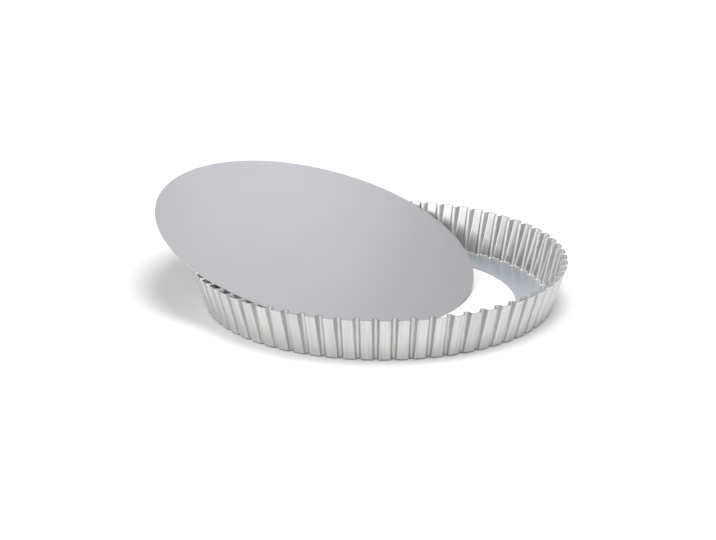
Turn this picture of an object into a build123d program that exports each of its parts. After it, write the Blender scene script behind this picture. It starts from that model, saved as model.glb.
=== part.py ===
from build123d import *
import os
from math import asin, cos, degrees, pi, radians, sin, tan

# Loose-bottomed fluted quiche dish: a pressed fluted ring, open at the foot, and
# the flat round base that lifts out of it. Lengths are in millimetres, +Z is up.
# The origin is on the ring's axis, in the plane that the ring's foot stands on.

# Ring: overall form, measured on the outer face of the lobes
rim_radius = 140.0
foot_radius = 130.0
ring_height = 33.5
ring_sheet = 0.5
foot_bend = 1.8
ledge_width = 28.0

# Ring: flutes, as its outer face shows them. A rib is the narrow fold that points
# inwards, a lobe is the broad stretch between two ribs. Each rounding is a run of flats.
flute_count = 65
first_rib_angle = 2.7
flute_depth_at_rim = 5.3
flute_depth_at_foot = 2.6
rib_nose_radius = 1.8
flank_lean_angle = 14.0
lobe_corner_radius = 1.4
corner_facet_count = 4
nose_facet_count = 5

# Base: a flat disc that drops onto the ring's ledge
base_sheet = 0.6
base_side_clearance = 2.1

# Lean of the base in the open ring: it rises towards this side, its low edge is on the
# table inside the ring, and its underside lies on a rib of the rim at either side.
lean_direction_angle = 145.2
base_centre_offset = 58.6
resting_clearance = 0.3

# How finely the tilt of the leaning base is found, and at how many levels of the wall
tilt_tolerance_angle = 0.0001
wall_level_count = 24


def rounding(centre, radius, first_angle, last_angle, facet_count):
    """Points of a round corner as the sheet turns it, with as many flats as named."""
    step = (last_angle - first_angle) / facet_count
    angles = [first_angle + step * facet for facet in range(facet_count + 1)]
    return [centre + Vector(radius * cos(angle), radius * sin(angle)) for angle in angles]


def flute_outline(lobe_radius, flute_depth, level, inset):
    """Edges of one flute's outline at one level, anticlockwise, its rib on the X axis.

    They are the straight of the lobe before the rib, a rounded corner, the rib's first
    flank, its round nose, its second flank and the corner after it. The inset moves them
    into the metal, square to the sheet, so every rounding keeps its centre.
    """
    lean = radians(flank_lean_angle)
    half_pitch = pi / flute_count
    nose_centre = Vector(lobe_radius - flute_depth + rib_nose_radius, 0, level)
    flank_distance = nose_centre.X * sin(lean) - rib_nose_radius - lobe_corner_radius
    lobe_distance = lobe_radius - lobe_corner_radius
    spread = cos(lean - half_pitch)
    corner_x = (lobe_distance * cos(lean) + flank_distance * sin(half_pitch)) / spread
    corner_y = (lobe_distance * sin(lean) - flank_distance * cos(half_pitch)) / spread

    flank_facing = pi / 2 - lean
    first_corner = rounding(
        Vector(corner_x, -corner_y, level), lobe_corner_radius - inset,
        -half_pitch, flank_facing, corner_facet_count,
    )
    nose = rounding(
        nose_centre, rib_nose_radius + inset,
        flank_facing + pi, pi - flank_facing, nose_facet_count,
    )
    last_corner = rounding(
        Vector(corner_x, corner_y, level), lobe_corner_radius - inset,
        -flank_facing, half_pitch, corner_facet_count,
    )
    lobe_start = last_corner[-1].rotate(Axis.Z, degrees(-2 * half_pitch))
    points = [lobe_start] + first_corner + nose + last_corner
    return [Line(start, end) for start, end in zip(points, points[1:])]


def round_the_ring(shapes):
    """Copies of one flute's edges or faces, turned to the place of every flute."""
    return [
        shape.rotate(Axis.Z, first_rib_angle + flute * 360 / flute_count)
        for flute in range(flute_count)
        for shape in shapes
    ]


def sheet_skin(outlines):
    """Flat faces of the whole ring between one flute's outlines, from foot to rim."""
    flute_faces = [
        Face(Wire.make_polygon([lower @ 0, lower @ 1, upper @ 1, upper @ 0]))
        for lower_outline, upper_outline in zip(outlines, outlines[1:])
        for lower, upper in zip(lower_outline, upper_outline)
    ]
    return round_the_ring(flute_faces)


def wall_outlines(start_level, inset):
    """Outlines of one face of the wall: where its bend at the foot starts and ends, and at the rim."""
    bend_start = foot_radius - foot_bend + start_level
    return [
        flute_outline(bend_start, flute_depth_at_foot, start_level, inset),
        flute_outline(foot_radius, flute_depth_at_foot, foot_bend, inset),
        flute_outline(rim_radius, flute_depth_at_rim, ring_height, inset),
    ]


def fluted_ring():
    """The pressed ring: fluted wall, bend at the foot and flat ledge round the hole."""
    outer_outlines = wall_outlines(0, 0)
    inner_outlines = wall_outlines(ring_sheet, ring_sheet)
    foot_edge, rim_edge = (
        Wire(round_the_ring(outline)) for outline in (outer_outlines[0], outer_outlines[-1])
    )
    ledge_edge, rim_inner_edge = (
        Wire(round_the_ring(outline)) for outline in (inner_outlines[0], inner_outlines[-1])
    )
    hole = Cylinder(foot_radius - ledge_width, ring_sheet, align=(Align.CENTER, Align.CENTER, Align.MIN))
    hole_wall = hole.faces().filter_by(GeomType.CYLINDER)[0]
    hole_below, hole_above = (
        Wire(edge) for edge in hole_wall.edges().filter_by(GeomType.CIRCLE).sort_by(Axis.Z)
    )
    cut_rim = Face(rim_edge, [rim_inner_edge])
    foot_face = Face(foot_edge, [hole_below])
    ledge_face = Face(ledge_edge, [hole_above])
    skins = sheet_skin(outer_outlines) + sheet_skin(inner_outlines)
    return Solid(Shell([cut_rim, foot_face, ledge_face, hole_wall] + skins))


# The base clears the ribs where they run into the ledge, so that it drops onto the ledge.
base_radius = foot_radius - foot_bend - flute_depth_at_foot - base_side_clearance


def wall_points():
    """Points up the wall's inner face, seen with the base's lean along the X axis."""
    _, foot_outline, rim_outline = wall_outlines(ring_sheet, ring_sheet)
    flute_points = [
        foot_edge @ 0 + (rim_edge @ 0 - foot_edge @ 0) * (level / wall_level_count)
        for foot_edge, rim_edge in zip(foot_outline, rim_outline)
        for level in range(wall_level_count + 1)
    ]
    ring_points = round_the_ring(flute_points)
    return [tuple(point.rotate(Axis.Z, -lean_direction_angle)) for point in ring_points]


def clears_wall(tilt, points):
    """Whether each point of the wall is below the base's underside or beyond its edge."""
    low_edge_rise = base_radius * sin(tilt)
    reach = base_radius + resting_clearance
    for x, across, height in points:
        along = x - base_centre_offset
        is_under = (along / cos(tilt)) ** 2 + across**2 < reach**2
        if is_under and height > low_edge_rise + along * tan(tilt):
            return False
    return True


def base_tilt():
    """Least tilt at which the base, with its low edge down, lies on the ribs of the rim."""
    points = wall_points()
    lowest, highest = asin(ring_height / (2 * base_radius)), pi / 2
    while highest - lowest > radians(tilt_tolerance_angle):
        tilt = (lowest + highest) / 2
        if clears_wall(tilt, points):
            highest = tilt
        else:
            lowest = tilt
    return highest


def loose_base():
    """The flat disc, leaning in the ring with its low edge just over the table."""
    tilt = base_tilt()
    turn = radians(lean_direction_angle)
    up_slope = Vector(cos(tilt) * cos(turn), cos(tilt) * sin(turn), sin(tilt))
    normal = Vector(-sin(tilt) * cos(turn), -sin(tilt) * sin(turn), cos(tilt))
    centre = Vector(
        base_centre_offset * cos(turn),
        base_centre_offset * sin(turn),
        base_radius * sin(tilt) + resting_clearance,
    )
    disc = Cylinder(base_radius, base_sheet, align=(Align.CENTER, Align.CENTER, Align.MIN))
    return Plane(origin=centre, x_dir=up_slope, z_dir=normal) * disc


os.makedirs("parts", exist_ok=True)
export_step(fluted_ring(), "parts/fluted_ring.step")
export_step(loose_base(), "parts/loose_base.step")
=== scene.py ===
"""Studio scene of a loose-bottomed fluted quiche dish.

The dish is two pressed sheets: a fluted ring, open in the middle, and a flat round base
that leans in it. Lengths are in metres, in the frame of the CAD model, +Z up.
"""
import logging
from collections.abc import Callable
from dataclasses import dataclass
from enum import Enum
from math import asin, cos, degrees, pi, radians, sin

import bmesh
import bpy
from mathutils import Matrix, Vector


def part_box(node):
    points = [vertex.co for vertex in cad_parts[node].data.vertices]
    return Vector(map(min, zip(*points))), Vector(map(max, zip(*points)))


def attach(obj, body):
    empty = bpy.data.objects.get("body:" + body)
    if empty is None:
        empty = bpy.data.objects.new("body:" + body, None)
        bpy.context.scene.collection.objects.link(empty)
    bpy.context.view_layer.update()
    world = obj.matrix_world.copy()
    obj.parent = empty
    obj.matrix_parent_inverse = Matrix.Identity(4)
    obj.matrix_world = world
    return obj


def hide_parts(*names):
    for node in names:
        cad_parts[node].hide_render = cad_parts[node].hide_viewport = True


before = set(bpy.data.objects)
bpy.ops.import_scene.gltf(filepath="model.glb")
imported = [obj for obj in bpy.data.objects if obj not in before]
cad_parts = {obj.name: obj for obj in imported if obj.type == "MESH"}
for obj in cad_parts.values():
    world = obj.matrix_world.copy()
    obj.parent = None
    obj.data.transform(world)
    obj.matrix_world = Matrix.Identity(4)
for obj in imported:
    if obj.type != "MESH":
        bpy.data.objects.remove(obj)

MM = 0.001
WHITE = (1.0, 1.0, 1.0)
NOISE_MEAN = 0.5
CUT_EDGE_ANGLE = radians(60)
CUT_EDGE_SEGMENTS = 2
SMOOTH_ANGLE = radians(35)
LOG = logging.getLogger("quiche_dish")

NodeInput = float | tuple | bpy.types.NodeSocket


class Body(Enum):
    """The moving bodies of the CAD model that a piece can ride on."""

    RING = "ring"
    BASE = "base"


class Slot(Enum):
    """The record's material slots."""

    RING = "ring_steel"
    BASE = "base_steel"


class SheetPart(Enum):
    """The parts of a sheet that take a colour of their own, by the attribute that marks them;
    both colours carry painted light.
    """

    # The cut edges: darkened on the ring, with painted contact shade along its foot, and
    # lighter on the base as a painted highlight.
    EDGE = "edge"
    # The flat ledge, whose cooler, darker colour is a painted reflection of the surround.
    FLAT = "flat_sheet"


class GrainLay(Enum):
    """Which way a sheet's fine lines run, as the noise's scale along X, Y and Z."""

    ROLLED = (0.06, 1.0, 1.0)
    DRAWN_UP = (1.0, 1.0, 0.03)


def deselect_all() -> None:
    """Leaves edit mode and deselects every object."""
    if bpy.context.object and bpy.context.object.mode != "OBJECT":
        bpy.ops.object.mode_set(mode="OBJECT")
    bpy.ops.object.select_all(action="DESELECT")


def select_verts(
    piece: bpy.types.Object, wanted: Callable[[bmesh.types.BMVert], bool]
) -> None:
    """Selects some vertices of a piece in edit mode, and the edges between them.

    Args:
        piece: The piece in edit mode.
        wanted: Whether a vertex is to be selected.
    """
    bpy.ops.mesh.select_mode(type="VERT")
    bpy.ops.mesh.select_all(action="DESELECT")
    mesh = bmesh.from_edit_mesh(piece.data)
    for vert in mesh.verts:
        if wanted(vert):
            vert.select_set(True)
    mesh.select_flush_mode()
    bmesh.update_edit_mesh(piece.data)


def apply_modifiers(piece: bpy.types.Object) -> None:
    """Applies every modifier of the piece, in order."""
    deselect_all()
    bpy.context.view_layer.objects.active = piece
    piece.select_set(True)
    for modifier in list(piece.modifiers):
        bpy.ops.object.modifier_apply(modifier=modifier.name)


def soften_cut_edges(piece: bpy.types.Object, width: float) -> None:
    """Bevels the sharp edges, applies every modifier and shades the bends smooth.

    Args:
        piece: The piece, with its sheet's thickness applied or still as a modifier.
        width: The width of the bevel.
    """
    soft = piece.modifiers.new("cut_edges", "BEVEL")
    soft.width = width
    soft.segments = CUT_EDGE_SEGMENTS
    soft.limit_method = "ANGLE"
    soft.angle_limit = CUT_EDGE_ANGLE
    apply_modifiers(piece)
    bpy.ops.object.shade_smooth_by_angle(angle=SMOOTH_ANGLE)


def mark(
    piece: bpy.types.Object, part: SheetPart, is_marked: Callable[[bpy.types.MeshVertex], bool]
) -> None:
    """Stores which vertices belong to a part of the sheet, for the finish to read.

    Args:
        piece: The finished piece.
        part: The part of the sheet.
        is_marked: Whether a vertex is in that part.
    """
    layer = piece.data.attributes.new(part.value, "FLOAT", "POINT")
    for vert in piece.data.vertices:
        layer.data[vert.index].value = 1.0 if is_marked(vert) else 0.0


def rounding(
    x: float, y: float, radius: float, start: float, end: float, steps: int
) -> list[Vector]:
    """Works out the points of one rounding of the sheet, at height zero.

    Args:
        x: The centre's place along X.
        y: The centre's place along Y.
        radius: The radius of the rounding.
        start: The angle of the first point, from +X.
        end: The angle of the last point.
        steps: How many flats the rounding has.

    Returns:
        The points, one more than the steps.
    """
    turns = (start + (end - start) * step / steps for step in range(steps + 1))
    return [Vector((x + radius * cos(turn), y + radius * sin(turn), 0)) for turn in turns]


def opaque(colour: tuple[float, float, float]) -> tuple[float, float, float, float]:
    """Returns a colour as the nodes' colour inputs take it, fully opaque."""
    return (*colour, 1.0)


class NodeTree:
    """A short way to place nodes and links in a node tree."""

    def __init__(self, tree: bpy.types.NodeTree) -> None:
        """Takes the tree that the nodes go into."""
        self.tree = tree

    def node(self, kind: str, settings: dict | None = None, **inputs) -> bpy.types.Node:
        """Adds a node.

        Args:
            kind: The node's type.
            settings: Attributes of the node.
            inputs: Values or sockets, by input name with underscores for spaces, or by
                number as in0, in1.

        Returns:
            The new node.
        """
        node = self.tree.nodes.new(kind)
        for name, value in (settings or {}).items():
            setattr(node, name, value)
        for name, value in inputs.items():
            numbered = name.startswith("in") and name[2:].isdigit()
            socket = node.inputs[int(name[2:]) if numbered else name.replace("_", " ")]
            if isinstance(value, bpy.types.NodeSocket):
                self.tree.links.new(value, socket)
            else:
                socket.default_value = value
        return node

    def math(
        self, operation: str, first: NodeInput, second: NodeInput, clamp: bool = False
    ) -> bpy.types.NodeSocket:
        """Adds a Math node.

        Args:
            operation: What it does with its two numbers.
            first: The first number.
            second: The second number.
            clamp: Whether the result is kept from 0 to 1.

        Returns:
            The socket with the result.
        """
        settings = {"operation": operation, "use_clamp": clamp}
        return self.node("ShaderNodeMath", settings, in0=first, in1=second).outputs[0]

    def blend(self, first: NodeInput, second: NodeInput, share: float) -> bpy.types.NodeSocket:
        """Adds the nodes that mix two numbers in fixed shares.

        Args:
            first: The first number.
            second: The second number.
            share: The first number's share, from 0 to 1.

        Returns:
            The socket with the mixture.
        """
        first_part = self.math("MULTIPLY", first, share)
        second_part = self.math("MULTIPLY", second, 1 - share)
        return self.math("ADD", first_part, second_part)

    def vector(self, operation: str, first: NodeInput, **others) -> bpy.types.NodeSocket:
        """Adds a Vector Math node.

        Args:
            operation: What it does with its vectors.
            first: The first vector.
            others: Its other inputs, by name or by number as for any node.

        Returns:
            The socket with the resulting vector.
        """
        settings = {"operation": operation}
        return self.node("ShaderNodeVectorMath", settings, in0=first, **others).outputs[0]

    def mix_colour(
        self, factor: NodeInput, first: NodeInput, second: NodeInput
    ) -> bpy.types.NodeSocket:
        """Adds a Mix node for colours, which are its inputs 6 and 7 and its output 2.

        Args:
            factor: The second colour's share.
            first: The first colour.
            second: The second colour.

        Returns:
            The socket with the mixed colour.
        """
        settings = {"data_type": "RGBA"}
        node = self.node("ShaderNodeMix", settings, in0=factor, in6=first, in7=second)
        return node.outputs[2]

    def noise(
        self, vector: NodeInput, scale: NodeInput, detail: float, roughness: float
    ) -> bpy.types.NodeSocket:
        """Adds a Noise Texture.

        Args:
            vector: The place that the noise is read at.
            scale: How fine the noise is.
            detail: How many finer layers it has.
            roughness: How strong the finer layers are.

        Returns:
            The socket with the noise, about NOISE_MEAN.
        """
        node = self.node(
            "ShaderNodeTexNoise", Vector=vector, Scale=scale, Detail=detail,
            Roughness=roughness,
        )
        return node.outputs["Fac"]


def empty_nodes(owner: bpy.types.Material | bpy.types.World) -> NodeTree:
    """Turns on a material's or a world's nodes, clears them and returns its tree."""
    owner.use_nodes = True
    owner.node_tree.nodes.clear()
    return NodeTree(owner.node_tree)


def sheet_grain_group() -> bpy.types.ShaderNodeTree:
    """Builds the group for the grain of a tinned sheet, rolled or drawn.

    Returns:
        A group that takes a place, the place that the lines follow and their lay, and the
        three scales, and puts out the fine lines, the satin speckle and the wide clouds
        of the tin, each about NOISE_MEAN.
    """
    group = bpy.data.node_groups.new("sheet_grain", "ShaderNodeTree")
    sides = group.interface
    for name in ("Vector", "Line Vector", "Lay"):
        sides.new_socket(name, in_out="INPUT", socket_type="NodeSocketVector")
    for name in ("Line Scale", "Speckle Scale", "Cloud Scale"):
        sides.new_socket(name, in_out="INPUT", socket_type="NodeSocketFloat")
    for name in ("Lines", "Speckle", "Clouds"):
        sides.new_socket(name, in_out="OUTPUT", socket_type="NodeSocketFloat")
    nodes = NodeTree(group)
    given = nodes.node("NodeGroupInput").outputs
    place = given["Vector"]
    laid = nodes.vector("MULTIPLY", given["Line Vector"], in1=given["Lay"])
    lines = nodes.noise(laid, given["Line Scale"], detail=3.0, roughness=0.6)
    speckle = nodes.noise(place, given["Speckle Scale"], detail=2.0, roughness=0.7)
    clouds = nodes.noise(place, given["Cloud Scale"], detail=3.0, roughness=0.5)
    nodes.node("NodeGroupOutput", Lines=lines, Speckle=speckle, Clouds=clouds)
    return group


@dataclass(frozen=True)
class SheetFinish:
    """A satin finish of tinned sheet steel, with its grain and its cut edge, and with colours
    for its marked parts that paint light and shade.

    Attributes:
        name: The material's name.
        colour: The colour of the sheet.
        flat_painted_reflection_colour: The colour of its part marked as flat; on the ring's
            ledge a cooler, darker colour that is a painted reflection.
        edge_and_painted_light_colour: The colour of its marked edge: cut steel with painted
            shade on the ring, a painted highlight on the base.
        roughness: The roughness of the sheet.
        edge_roughness: The roughness of its part marked as edge.
        lay: Which way the fine lines run.
        drawn_radius: Distance from the ring's axis at which drawn lines are laid out.
        line_scale: How fine the lines are.
        speckle_scale: How fine the satin speckle is.
        cloud_scale: How fine the clouds of the tin are.
        line_share: The lines' share of the fine grain; the rest is speckle.
        cloud_share: The clouds' share of the tone; the rest is fine grain.
        colour_swing: How far the tone darkens and lightens the colour.
        swing_by_channel: How strongly red, green and blue each follow that swing.
        roughness_swing: How far the clouds change the roughness.
        bump_height: How deep the fine grain is.
        bump_strength: How much of that depth shows.
    """

    name: str
    colour: tuple[float, float, float]
    flat_painted_reflection_colour: tuple[float, float, float]
    edge_and_painted_light_colour: tuple[float, float, float]
    roughness: float
    edge_roughness: float
    lay: GrainLay
    drawn_radius: float = 135.0 * MM
    line_scale: float = 900.0
    speckle_scale: float = 1500.0
    cloud_scale: float = 28.0
    line_share: float = 0.5
    cloud_share: float = 0.4
    colour_swing: float = 0.10
    swing_by_channel: tuple[float, float, float] = (1.1, 1.0, 0.85)
    roughness_swing: float = 0.10
    bump_height: float = 0.00002
    bump_strength: float = 0.25

    def line_place(self, nodes: NodeTree, place: bpy.types.NodeSocket) -> bpy.types.NodeSocket:
        """Places the lines of the grain, straight up a drawn wall however it flares.

        Args:
            nodes: The material's nodes.
            place: The socket with the Object coordinates.

        Returns:
            The socket with the coordinates that the lines follow.
        """
        if self.lay is GrainLay.ROLLED:
            return place
        level_part = nodes.vector("MULTIPLY", place, in1=(1, 1, 0))
        upright_part = nodes.vector("MULTIPLY", place, in1=(0, 0, 1))
        outward = nodes.vector("NORMALIZE", level_part)
        around = nodes.vector("SCALE", outward, Scale=self.drawn_radius)
        return nodes.vector("ADD", around, in1=upright_part)

    def shade(self, side: int) -> tuple[float, float, float, float]:
        """Works out what the sheet's colour is multiplied by at one end of the tone.

        Args:
            side: -1 for the dark end, which is cooler, and 1 for the light, warmer end.

        Returns:
            The factors for red, green and blue, as a colour.
        """
        red, green, blue = (
            1 + side * self.colour_swing * share for share in self.swing_by_channel
        )
        return opaque((red, green, blue))

    def material(self, grain: bpy.types.ShaderNodeTree) -> bpy.types.Material:
        """Builds the material.

        Args:
            grain: The group for the grain of the sheet.

        Returns:
            The finished material.
        """
        made = bpy.data.materials.new(self.name)
        nodes = empty_nodes(made)
        place = nodes.node("ShaderNodeTexCoord").outputs["Object"]
        sheet = nodes.node(
            "ShaderNodeGroup", {"node_tree": grain}, Vector=place,
            Line_Vector=self.line_place(nodes, place), Lay=self.lay.value,
            Line_Scale=self.line_scale, Speckle_Scale=self.speckle_scale,
            Cloud_Scale=self.cloud_scale,
        )
        lines, speckle, clouds = sheet.outputs
        edge, flat = (
            nodes.node("ShaderNodeAttribute", {"attribute_name": part.value}).outputs["Fac"]
            for part in (SheetPart.EDGE, SheetPart.FLAT)
        )

        fine = nodes.blend(lines, speckle, self.line_share)
        tone = nodes.blend(clouds, fine, self.cloud_share)
        # The flat ledge takes a cooler, darker colour: a painted reflection of the surround.
        sheet_and_painted_reflection_colour = nodes.mix_colour(flat, opaque(self.colour), opaque(self.flat_painted_reflection_colour))
        shade = nodes.mix_colour(tone, self.shade(-1), self.shade(1))
        face_and_painted_reflection_colour = nodes.vector("MULTIPLY", sheet_and_painted_reflection_colour, in1=shade)
        # The edge mark takes its own colour: on the ring dark cut steel with painted shade,
        # which also paints contact shade along the foot; on the base a painted highlight.
        colour = nodes.mix_colour(edge, face_and_painted_reflection_colour, opaque(self.edge_and_painted_light_colour))

        cloud_step = nodes.math("SUBTRACT", clouds, NOISE_MEAN)
        cloud_swing = nodes.math("MULTIPLY", cloud_step, self.roughness_swing)
        face_roughness = nodes.math("ADD", cloud_swing, self.roughness)
        edge_step = nodes.math("MULTIPLY", edge, self.edge_roughness - self.roughness)
        roughness = nodes.math("ADD", face_roughness, edge_step, clamp=True)

        bump = nodes.node(
            "ShaderNodeBump", Strength=self.bump_strength, Distance=self.bump_height,
            Height=fine,
        )
        shader = nodes.node(
            "ShaderNodeBsdfPrincipled", Base_Color=colour, Roughness=roughness,
            Metallic=1.0, Normal=bump.outputs[0],
        )
        nodes.node("ShaderNodeOutputMaterial", Surface=shader.outputs[0])
        return made


@dataclass
class FlutedRing:
    """The pressed ring: fluted wall, bend at the foot and flat ledge round the middle.

    A rib is the narrow fold that points inwards, a lobe the broad stretch between two
    ribs. Radii and depths are those of the sheet's outer face.
    """

    # Sizes, as in the CAD model
    rim_radius: float = 140.0 * MM
    foot_radius: float = 130.0 * MM
    height: float = 33.5 * MM
    sheet: float = 0.5 * MM
    foot_bend: float = 1.8 * MM
    ledge_hole_radius: float = 102.0 * MM
    flute_count: int = 65
    first_rib_angle: float = radians(2.7)
    flute_depth_at_rim: float = 5.3 * MM
    flute_depth_at_foot: float = 2.6 * MM
    rib_nose_radius: float = 1.8 * MM
    lobe_corner_radius: float = 1.4 * MM
    flank_lean: float = radians(14)

    # How finely the sheet is drawn: flats in each rounding and lobe, and where its rows
    # lie, as shares of the way up the wall and of the way in over the ledge
    corner_steps: int = 5
    nose_steps: int = 10
    lobe_steps: int = 4
    bend_steps: int = 4
    wall_shares: tuple[float, ...] = (0.0, 0.2, 0.4, 0.6, 0.8, 0.985, 1.0)
    ledge_shares: tuple[float, ...] = (0.03, 0.5, 0.98, 1.0)

    # The cut edges, the height of the painted contact shade along the outer foot, and the
    # joints between the flutes
    edge_bevel: float = 0.1 * MM
    # Painted contact shade: the underside of the outer foot below this height takes the dark
    # edge colour.
    foot_shade_height: float = 0.7 * MM
    merge_distance: float = 0.002 * MM

    @property
    def ledge_radius(self) -> float:
        """Where the ribs run into the ledge, from the ring's axis."""
        return self.foot_radius - self.foot_bend - self.flute_depth_at_foot

    def flute_outline(self, lobe_radius: float, depth: float) -> list[Vector]:
        """Works out one flute's outline, anticlockwise, its rib on the X axis.

        Args:
            lobe_radius: Distance of the lobe from the ring's axis.
            depth: How far the rib stands in from the lobe.

        Returns:
            The points of the outline, at height zero.
        """
        half_pitch = pi / self.flute_count
        lean, nose_radius = self.flank_lean, self.rib_nose_radius
        corner_radius, corner_steps = self.lobe_corner_radius, self.corner_steps
        nose_x = lobe_radius - depth + nose_radius
        flank_distance = nose_x * sin(lean) - nose_radius - corner_radius
        lobe_distance = lobe_radius - corner_radius
        spread = cos(lean - half_pitch)
        corner_x = (lobe_distance * cos(lean) + flank_distance * sin(half_pitch)) / spread
        corner_y = (lobe_distance * sin(lean) - flank_distance * cos(half_pitch)) / spread

        facing = pi / 2 - lean
        first = rounding(corner_x, -corner_y, corner_radius, -half_pitch, facing, corner_steps)
        nose = rounding(nose_x, 0, nose_radius, facing + pi, pi - facing, self.nose_steps)
        last = rounding(corner_x, corner_y, corner_radius, -facing, half_pitch, corner_steps)
        lobe_start = last[-1].copy()
        lobe_start.rotate(Matrix.Rotation(-2 * half_pitch, 3, "Z"))
        lobe = [
            lobe_start.lerp(first[0], step / self.lobe_steps)
            for step in range(self.lobe_steps)
        ]
        return lobe + first + nose + last

    def rows(self) -> list[list[Vector]]:
        """Works out one flute's outlines from the underside of the foot to the rim.

        Returns:
            The points of each outline, the lowest outline first.
        """
        levels = []
        for step in range(self.bend_steps):
            turn = pi / 2 * step / self.bend_steps
            radius = self.foot_radius - self.foot_bend * (1 - sin(turn))
            level = self.foot_bend * (1 - cos(turn))
            levels.append((radius, self.flute_depth_at_foot, level))
        for share in self.wall_shares:
            radius = self.foot_radius + (self.rim_radius - self.foot_radius) * share
            depth = self.flute_depth_at_foot * (1 - share) + self.flute_depth_at_rim * share
            level = self.foot_bend + (self.height - self.foot_bend) * share
            levels.append((radius, depth, level))
        return [
            [point + Vector((0, 0, level)) for point in self.flute_outline(radius, depth)]
            for radius, depth, level in levels
        ]

    def one_flute(self) -> bpy.types.Object:
        """Models one flute of the wall as an open sheet.

        Returns:
            The flute, made from a grid with a column per point and a row per outline.
        """
        rows = self.rows()
        columns = len(rows[0]) - 1
        deselect_all()
        bpy.ops.mesh.primitive_grid_add(
            x_subdivisions=columns, y_subdivisions=len(rows) - 1, size=1.0
        )
        flute = bpy.context.object
        turn = Matrix.Rotation(self.first_rib_angle, 3, "Z")
        # The grid is one metre wide about the origin, so a place in it tells its point.
        for vert in flute.data.vertices:
            column = round((vert.co.x + 0.5) * columns)
            row = round((vert.co.y + 0.5) * (len(rows) - 1))
            vert.co = turn @ rows[row][column]
        return flute

    def repeat_flute(self) -> None:
        """Copies the flute, in edit mode, all the way round, and joins the copies."""
        bpy.ops.mesh.select_all(action="SELECT")
        copies = self.flute_count - 1
        bpy.ops.mesh.spin(
            steps=copies, dupli=True, angle=2 * pi * copies / self.flute_count,
            center=(0, 0, 0), axis=(0, 0, 1),
        )
        bpy.ops.mesh.select_all(action="SELECT")
        bpy.ops.mesh.remove_doubles(threshold=self.merge_distance)

    def add_ledge(self, ring: bpy.types.Object) -> None:
        """Extrudes the lowest edge of the sheet inwards, in edit mode, to the open middle."""
        select_verts(ring, lambda vert: vert.co.z < self.merge_distance)
        start = self.ledge_radius
        for share in self.ledge_shares:
            radius = start + (self.ledge_hole_radius - start) * share
            bpy.ops.mesh.extrude_edges_move()
            mesh = bmesh.from_edit_mesh(ring.data)
            for vert in mesh.verts:
                if vert.select:
                    vert.co.xy *= radius / vert.co.xy.length
            bmesh.update_edit_mesh(ring.data)

    def face_outwards(self, ring: bpy.types.Object) -> None:
        """Turns the sheet's faces, in edit mode, so that those of the foot point down."""
        bpy.ops.mesh.select_all(action="SELECT")
        bpy.ops.mesh.normals_make_consistent(inside=False)
        mesh = bmesh.from_edit_mesh(ring.data)
        lowest = min(mesh.faces, key=lambda face: face.calc_center_median().z)
        if lowest.normal.z > 0:
            bpy.ops.mesh.flip_normals()

    def thicken(self, ring: bpy.types.Object) -> None:
        """Gives the sheet its thickness inwards, with the cut rim at the ring's height."""
        thick = ring.modifiers.new("sheet", "SOLIDIFY")
        thick.thickness = self.sheet
        thick.offset = -1.0
        thick.use_even_offset = True
        thick.use_quality_normals = True
        apply_modifiers(ring)
        for vert in ring.data.vertices:
            vert.co.z = min(vert.co.z, self.height)

    def mark_parts(self, ring: bpy.types.Object) -> None:
        """Marks the ring's cut edges, with the foot's painted contact shade, and its flat
        ledge for its painted reflection.
        """
        rim = self.height - self.edge_bevel / 2
        hole = self.ledge_hole_radius + self.edge_bevel / 2
        ledge = self.ledge_radius

        def is_edge_or_foot_shade(vert: bpy.types.MeshVertex) -> bool:
            """Whether the vertex is on the cut rim, the cut hole, or the underside of the foot
            where contact shade is painted.
            """
            reach, level = vert.co.xy.length, vert.co.z
            is_foot = reach > ledge and level < self.foot_shade_height and vert.normal.z < 0
            return level > rim or reach < hole or is_foot

        mark(ring, SheetPart.EDGE, is_edge_or_foot_shade)
        mark(ring, SheetPart.FLAT, lambda vert: vert.co.xy.length < ledge)

    def build(self) -> bpy.types.Object:
        """Models the whole ring.

        Returns:
            The finished piece, with its edges and its flat ledge marked.
        """
        ring = self.one_flute()
        ring.name = "ring_pressing"
        bpy.ops.object.mode_set(mode="EDIT")
        self.repeat_flute()
        self.add_ledge(ring)
        self.face_outwards(ring)
        bpy.ops.object.mode_set(mode="OBJECT")
        self.thicken(ring)
        soften_cut_edges(ring, self.edge_bevel)
        self.mark_parts(ring)
        return ring

    def dress(self, ring: bpy.types.Object, steel: bpy.types.Material) -> None:
        """Gives the ring its finish and puts it on its body."""
        ring.data.materials.clear()
        ring.data.materials.append(steel)
        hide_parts("fluted_ring")
        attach(ring, Body.RING.value)


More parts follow.
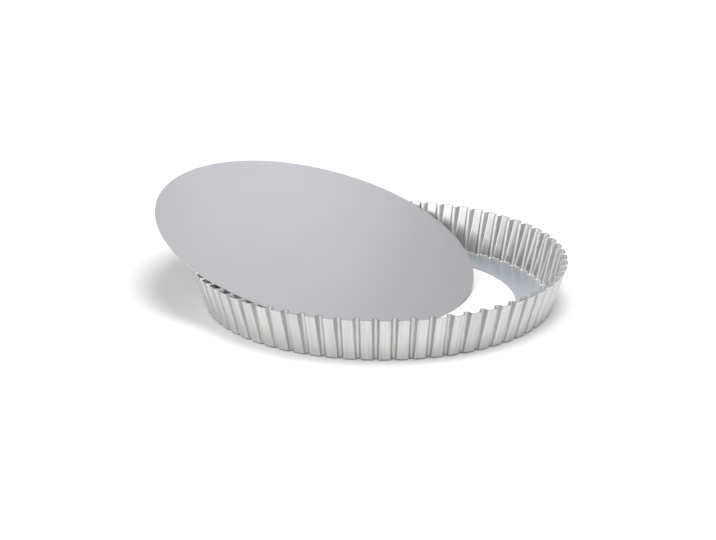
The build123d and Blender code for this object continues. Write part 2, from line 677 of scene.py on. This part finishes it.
@dataclass
class LooseBase:
    """The flat disc that leans in the ring with its low edge just over the table."""

    # Sizes and place, as in the CAD model
    radius: float = 123.5 * MM
    sheet: float = 0.6 * MM
    lean_direction: float = radians(145.2)
    centre_offset: float = 58.6 * MM
    resting_clearance: float = 0.3 * MM

    # How finely the disc is drawn, its cut edge, and how often its tilt is worked out anew
    edge_count: int = 240
    edge_bevel: float = 0.12 * MM
    ring_shares: tuple[float, ...] = (0.995, 0.75, 0.5, 0.25)
    tilt_rounds: int = 20

    def tilt(self) -> float:
        """Works out the disc's tilt from the height of its CAD node's box.

        The height is the disc's rise and that of its thickness, which depends on the tilt,
        so each round puts the last round's tilt in.

        Returns:
            The tilt from level.
        """
        low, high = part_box("loose_base")
        rise = high.z - low.z
        tilt = asin(rise / (2 * self.radius))
        for _ in range(self.tilt_rounds):
            tilt = asin((rise - self.sheet * cos(tilt)) / (2 * self.radius))
        return tilt

    def lean(self, disc: bpy.types.Object) -> None:
        """Moves the flat disc's mesh to its leaning place in the ring."""
        tilt = self.tilt()
        place = Matrix.Translation((
            self.centre_offset * cos(self.lean_direction),
            self.centre_offset * sin(self.lean_direction),
            self.radius * sin(tilt) + self.resting_clearance,
        ))
        turn = Matrix.Rotation(self.lean_direction, 4, "Z")
        disc.data.transform(place @ turn @ Matrix.Rotation(-tilt, 4, "Y"))

    def build(self) -> bpy.types.Object:
        """Models the disc flat and then leans it in the ring.

        Returns:
            The finished piece, with its cut edge marked.
        """
        deselect_all()
        bpy.ops.mesh.primitive_circle_add(
            vertices=self.edge_count, radius=self.radius, fill_type="NGON"
        )
        disc = bpy.context.object
        disc.name = "base_disc"
        bpy.ops.object.mode_set(mode="EDIT")
        bpy.ops.mesh.select_all(action="SELECT")
        for outer, inner in zip((1.0,) + self.ring_shares, self.ring_shares):
            bpy.ops.mesh.inset(thickness=(outer - inner) * self.radius)
        bpy.ops.object.mode_set(mode="OBJECT")
        thick = disc.modifiers.new("sheet", "SOLIDIFY")
        thick.thickness = self.sheet
        thick.offset = 1.0
        soften_cut_edges(disc, self.edge_bevel)
        # The cut edge is marked for a lighter colour that paints a highlight along it.
        edge = self.radius - self.edge_bevel / 2
        mark(disc, SheetPart.EDGE, lambda vert: vert.co.xy.length > edge)
        self.lean(disc)
        return disc

    def dress(self, disc: bpy.types.Object, steel: bpy.types.Material) -> None:
        """Gives the disc its finish and puts it on its body."""
        disc.data.materials.clear()
        disc.data.materials.append(steel)
        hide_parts("loose_base")
        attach(disc, Body.BASE.value)


@dataclass(frozen=True)
class SoftLamp:
    """A square soft lamp that faces the dish, with its place and side in metres."""

    name: str
    place: tuple[float, float, float]
    size: float
    watts: float
    is_reflected: bool = True


@dataclass
class Studio:
    """The pale floor, the white surround, the lamps and the camera."""

    # The floor glows only to the eye and in reflections, and more from the near distance
    # to the far one, so that it fades into the surround.
    floor_size: float = 12.0
    floor_colour: float = 0.9
    floor_glow: float = 0.04
    far_floor_glow: float = 0.7
    glow_distances: tuple[float, float] = (0.4, 2.0)

    # Brightness of the surround to the eye and in reflections, and as a light
    surround_seen: float = 1.0
    surround_light: float = 0.5

    # The photograph's camera, as fitted to its outlines
    lens: float = 125.15
    sensor_width: float = 36.0
    camera_place: tuple[float, float, float] = (-0.0158, -1.7552, 0.6285)
    camera_pitch: float = radians(19.048)
    camera_roll: float = radians(0.145)

    lamps: tuple[SoftLamp, ...] = (
        SoftLamp("overhead_lamp", (0.24, -0.1, 1.9), 0.9, 22.0, is_reflected=False),
        SoftLamp("left_lamp", (-1.5, -0.9, 0.9), 2.4, 12.0),
        SoftLamp("front_lamp", (-0.6, -1.9, 0.75), 1.4, 7.0),
        SoftLamp("back_lamp", (0.01, 0.5, 0.38), 0.25, 0.17),
    )

    def build_floor(self) -> None:
        """Lays a wide pale floor that keeps the dish's shadow."""
        deselect_all()
        bpy.ops.mesh.primitive_plane_add(size=self.floor_size)
        floor = bpy.context.object
        floor.name = "studio_floor"
        made = bpy.data.materials.new("studio_floor")
        nodes = empty_nodes(made)
        path = nodes.node("ShaderNodeLightPath").outputs
        seen = nodes.math("MAXIMUM", path["Is Camera Ray"], path["Is Glossy Ray"])
        place = nodes.node("ShaderNodeTexCoord").outputs["Object"]
        distance = nodes.node("ShaderNodeVectorMath", {"operation": "LENGTH"}, in0=place)
        near, far = self.glow_distances
        rise = nodes.node(
            "ShaderNodeMapRange", Value=distance.outputs["Value"], From_Min=near,
            From_Max=far, To_Min=self.floor_glow, To_Max=self.far_floor_glow,
        )
        glow = nodes.math("MULTIPLY", seen, rise.outputs[0])
        grey = opaque((self.floor_colour,) * 3)
        matt = nodes.node("ShaderNodeBsdfDiffuse", Color=grey).outputs[0]
        light = nodes.node("ShaderNodeEmission", Strength=glow).outputs[0]
        both = nodes.node("ShaderNodeAddShader", in0=matt, in1=light)
        nodes.node("ShaderNodeOutputMaterial", Surface=both.outputs[0])
        floor.data.materials.append(made)

    def build_surround(self) -> None:
        """Makes the world white to the eye and to reflections, and softer as a light."""
        world = bpy.data.worlds.new("studio_surround")
        nodes = empty_nodes(world)
        path = nodes.node("ShaderNodeLightPath").outputs
        seen = nodes.math("MAXIMUM", path["Is Camera Ray"], path["Is Glossy Ray"])
        seen = nodes.math("MAXIMUM", seen, path["Is Transmission Ray"])
        step = nodes.math("MULTIPLY", seen, self.surround_seen - self.surround_light)
        strength = nodes.math("ADD", step, self.surround_light)
        back = nodes.node("ShaderNodeBackground", Color=opaque(WHITE), Strength=strength)
        nodes.node("ShaderNodeOutputWorld", Surface=back.outputs[0])
        bpy.context.scene.world = world

    def add_lamp(self, lamp: SoftLamp) -> None:
        """Hangs one soft lamp so that it faces the dish."""
        light = bpy.data.lights.new(lamp.name, "AREA")
        light.size = lamp.size
        light.energy = lamp.watts
        stand = bpy.data.objects.new(lamp.name, light)
        stand.visible_glossy = lamp.is_reflected
        stand.location = lamp.place
        stand.rotation_euler = (-Vector(lamp.place)).to_track_quat("-Z", "Y").to_euler()
        bpy.context.scene.collection.objects.link(stand)

    def build_camera(self) -> None:
        """Sets the camera at the photograph's viewing angle."""
        camera = bpy.data.cameras.new("camera")
        camera.lens = self.lens
        camera.sensor_width = self.sensor_width
        holder = bpy.data.objects.new("camera", camera)
        holder.location = self.camera_place
        aim = Matrix.Rotation(pi / 2 - self.camera_pitch, 3, "X")
        roll = Matrix.Rotation(self.camera_roll, 3, "Z")
        holder.rotation_euler = (aim @ roll).to_euler()
        bpy.context.scene.collection.objects.link(holder)
        bpy.context.scene.camera = holder

    def build(self) -> None:
        """Builds the whole studio."""
        self.build_floor()
        self.build_surround()
        for lamp in self.lamps:
            self.add_lamp(lamp)
        self.build_camera()
        bpy.context.scene.view_settings.view_transform = "Standard"


def main() -> None:
    """Builds the studio and the dish."""
    logging.basicConfig(level=logging.INFO)
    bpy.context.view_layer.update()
    Studio().build()
    grain = sheet_grain_group()
    # The ring's ledge colour is a painted cool reflection; its dark edge colour is cut steel
    # with painted shade, also painted as contact shade along the foot.
    ring_steel = SheetFinish(
        name="ring_tinned_steel", colour=(0.63, 0.63, 0.625), flat_painted_reflection_colour=(0.49, 0.54, 0.59),
        edge_and_painted_light_colour=(0.3, 0.3, 0.3), roughness=0.35, edge_roughness=0.4,
        lay=GrainLay.DRAWN_UP, line_scale=550.0, line_share=0.9, cloud_share=0.2,
        colour_swing=0.35,
    )
    # The base's lighter edge colour is a painted highlight along its cut edge.
    base_steel = SheetFinish(
        name="base_tinned_steel", colour=(0.405, 0.405, 0.43),
        flat_painted_reflection_colour=(0.405, 0.405, 0.43), edge_and_painted_light_colour=(0.6, 0.6, 0.6),
        roughness=0.42, edge_roughness=0.35, lay=GrainLay.ROLLED,
    )
    ring = FlutedRing()
    ring_piece = ring.build()
    ring.dress(ring_piece, ring_steel.material(grain))
    LOG.info("%s: %d faces", ring_piece.name, len(ring_piece.data.polygons))
    base = LooseBase()
    base_piece = base.build()
    base.dress(base_piece, base_steel.material(grain))
    LOG.info(
        "%s: %d faces, leans %.2f degrees",
        base_piece.name, len(base_piece.data.polygons), degrees(base.tilt()),
    )


if __name__ == "__main__":
    main()
